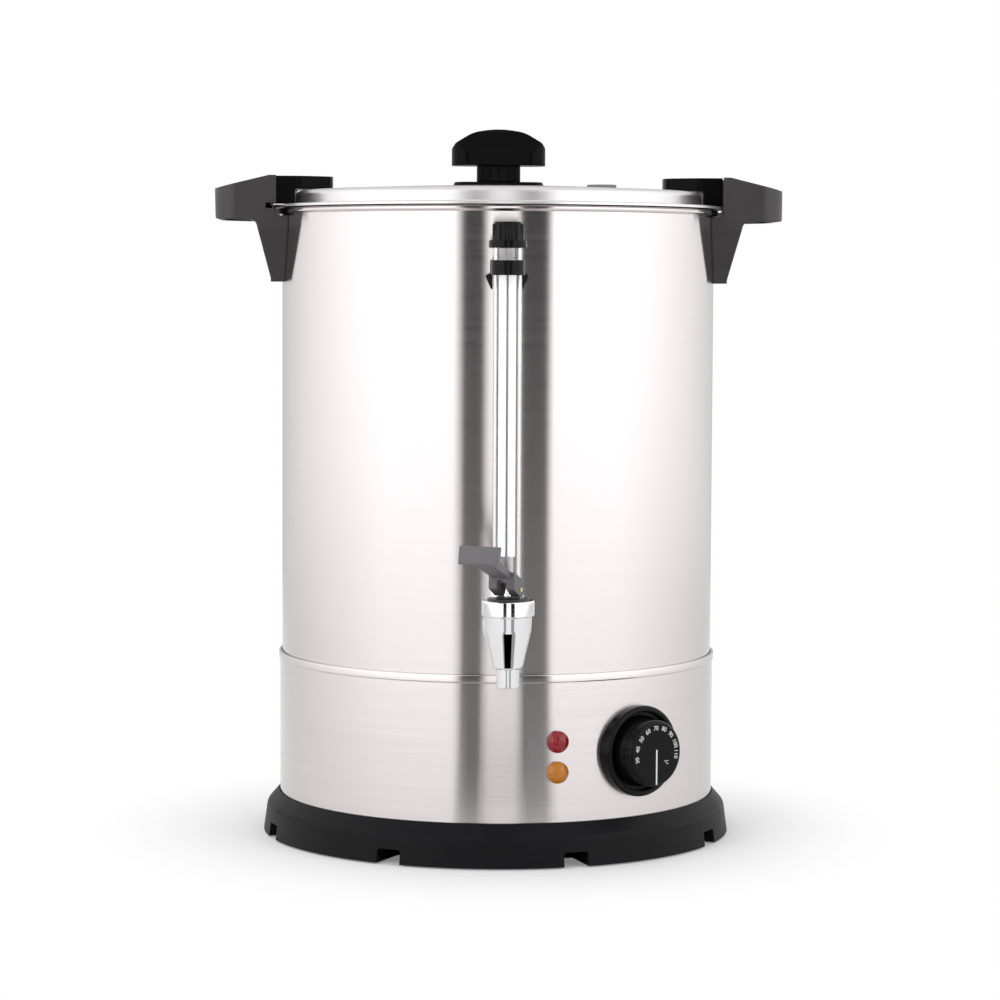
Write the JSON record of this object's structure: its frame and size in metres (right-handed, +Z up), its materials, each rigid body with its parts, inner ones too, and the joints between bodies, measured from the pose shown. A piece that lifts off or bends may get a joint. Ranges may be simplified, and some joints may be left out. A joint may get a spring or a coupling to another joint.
{
  "type": "hot water urn",
  "caption": "Stainless hot water urn with black side handles, a locking lid, a sight gauge, a swivelling lever tap and a thermostat dial with lamps on its housing",
  "frame": {"origin": "on the floor, at the middle of the rubber foot ring, on the tank's axis", "axes": "+Z up along the tank's axis, -Y the front with the tap, +X to the right seen from the front"},
  "size_m": [0.391, 0.4065, 0.4894],
  "materials": {
    "base_plastic": "moulded, slightly grained",
    "grip_plastic": "moulded, satin",
    "dial_plastic": "moulded, satin",
    "brushed_shell": "brushed around the tank",
    "lid_steel": "bright drawn sheet",
    "inner_steel": "mill finish",
    "fastener_steel": "zinc plated",
    "rubber": "moulded",
    "spreader_aluminium": "turned",
    "element_steel": "heat tinted",
    "control_plastic": "moulded",
    "reset_plastic": "moulded",
    "tap_chrome": "polished",
    "bonnet_plastic": "moulded",
    "lever_plastic": "moulded, satin",
    "pin_brass": "turned",
    "gauge_clear": "clear, polished",
    "lamp_red": "translucent, polished",
    "lamp_amber": "translucent, polished",
    "vent_grey": "moulded, satin"
  },
  "bodies": {
    "urn": {"base_ring": "base_plastic", "cable_gland": "base_plastic", "gland_nut": "base_plastic", "terminal_block": "base_plastic", "handle_right": "grip_plastic", "handle_left": "grip_plastic", "dial_bezel": "dial_plastic", "gauge_cap": "dial_plastic", "gauge_bracket": "dial_plastic", "tank_wall": "brushed_shell", "housing_ring": "brushed_shell", "tank_floor": "inner_steel", "bottom_pan": "inner_steel", "handle_plates": "inner_steel", "element_clamps": "inner_steel", "pan_screws": "fastener_steel", "tie_studs": "fastener_steel", "stud_nuts": "fastener_steel", "handle_screws": "fastener_steel", "thermostat_bulb": "fastener_steel", "foot_ring": "rubber", "gauge_seal": "rubber", "tap_washer_outer": "rubber", "tap_washer_inner": "rubber", "heat_spreader": "spreader_aluminium", "heating_element": "element_steel", "boil_dry_cutout": "control_plastic", "thermostat_body": "control_plastic", "lamp_body_red": "control_plastic", "lamp_body_amber": "control_plastic", "lamp_nuts": "control_plastic", "tap_body": "tap_chrome", "tap_nut": "tap_chrome", "bonnet": "bonnet_plastic", "gauge_tube": "gauge_clear", "lamp_lens_red": "lamp_red", "lamp_lens_amber": "lamp_amber"},
    "lid_seal": {"lid_gasket": "rubber"},
    "lid": {"lid_pan": "lid_steel", "lug_right": "grip_plastic", "lug_left": "grip_plastic", "knob_grip": "grip_plastic", "knob_plate": "grip_plastic", "knob_screw": "fastener_steel", "vent_cap": "vent_grey"},
    "swivel": {"thrust_washer": "bonnet_plastic"},
    "stem": {"valve_stem": "tap_chrome", "seat_cup": "rubber", "valve_spring": "fastener_steel"},
    "lever": {"lever": "lever_plastic", "lever_pin": "pin_brass"},
    "dial": {"dial_knob": "dial_plastic", "dial_shaft": "fastener_steel"},
    "reset": {"reset_button": "reset_plastic"}
  },
  "joints": [
    {"name": "lid_lift", "type": "slide", "parent": "urn", "child": "lid_seal", "axis": [0, 0, 1], "range_m": [0, 0.12]},
    {"name": "lid_twist", "type": "hinge", "parent": "lid_seal", "child": "lid", "pos_m": [0, 0, 0.4344], "axis": [0, 0, 1], "range_deg": [-16, 0]},
    {"name": "tap_swivel", "type": "hinge", "parent": "urn", "child": "swivel", "pos_m": [0, -0.195, 0.183], "axis": [0, 0, 1], "range_deg": [-62, 118]},
    {"name": "tap_stem", "type": "slide", "parent": "swivel", "child": "stem", "axis": [0, 0, 1], "range_m": [0, 0.004], "stiffness_N_per_m": 300, "springref_m": -0.006, "deforming": ["valve_spring"]},
    {"name": "lever_tilt", "type": "hinge", "parent": "stem", "child": "lever", "pos_m": [0, -0.195, 0.188], "axis": [0.8829, -0.4695, 0], "range_deg": [0, 30], "stiffness_Nm_per_rad": 0.4, "springref_deg": -11.46},
    {"name": "dial_turn", "type": "hinge", "parent": "urn", "child": "dial", "pos_m": [0.09354, -0.12734, 0.073], "axis": [-0.592, 0.8059, 0], "range_deg": [0, 270]},
    {"name": "reset_press", "type": "slide", "parent": "urn", "child": "reset", "axis": [0, 0, 1], "range_m": [0, 0.002], "stiffness_N_per_m": 800, "springref_m": -0.003}
  ]
}
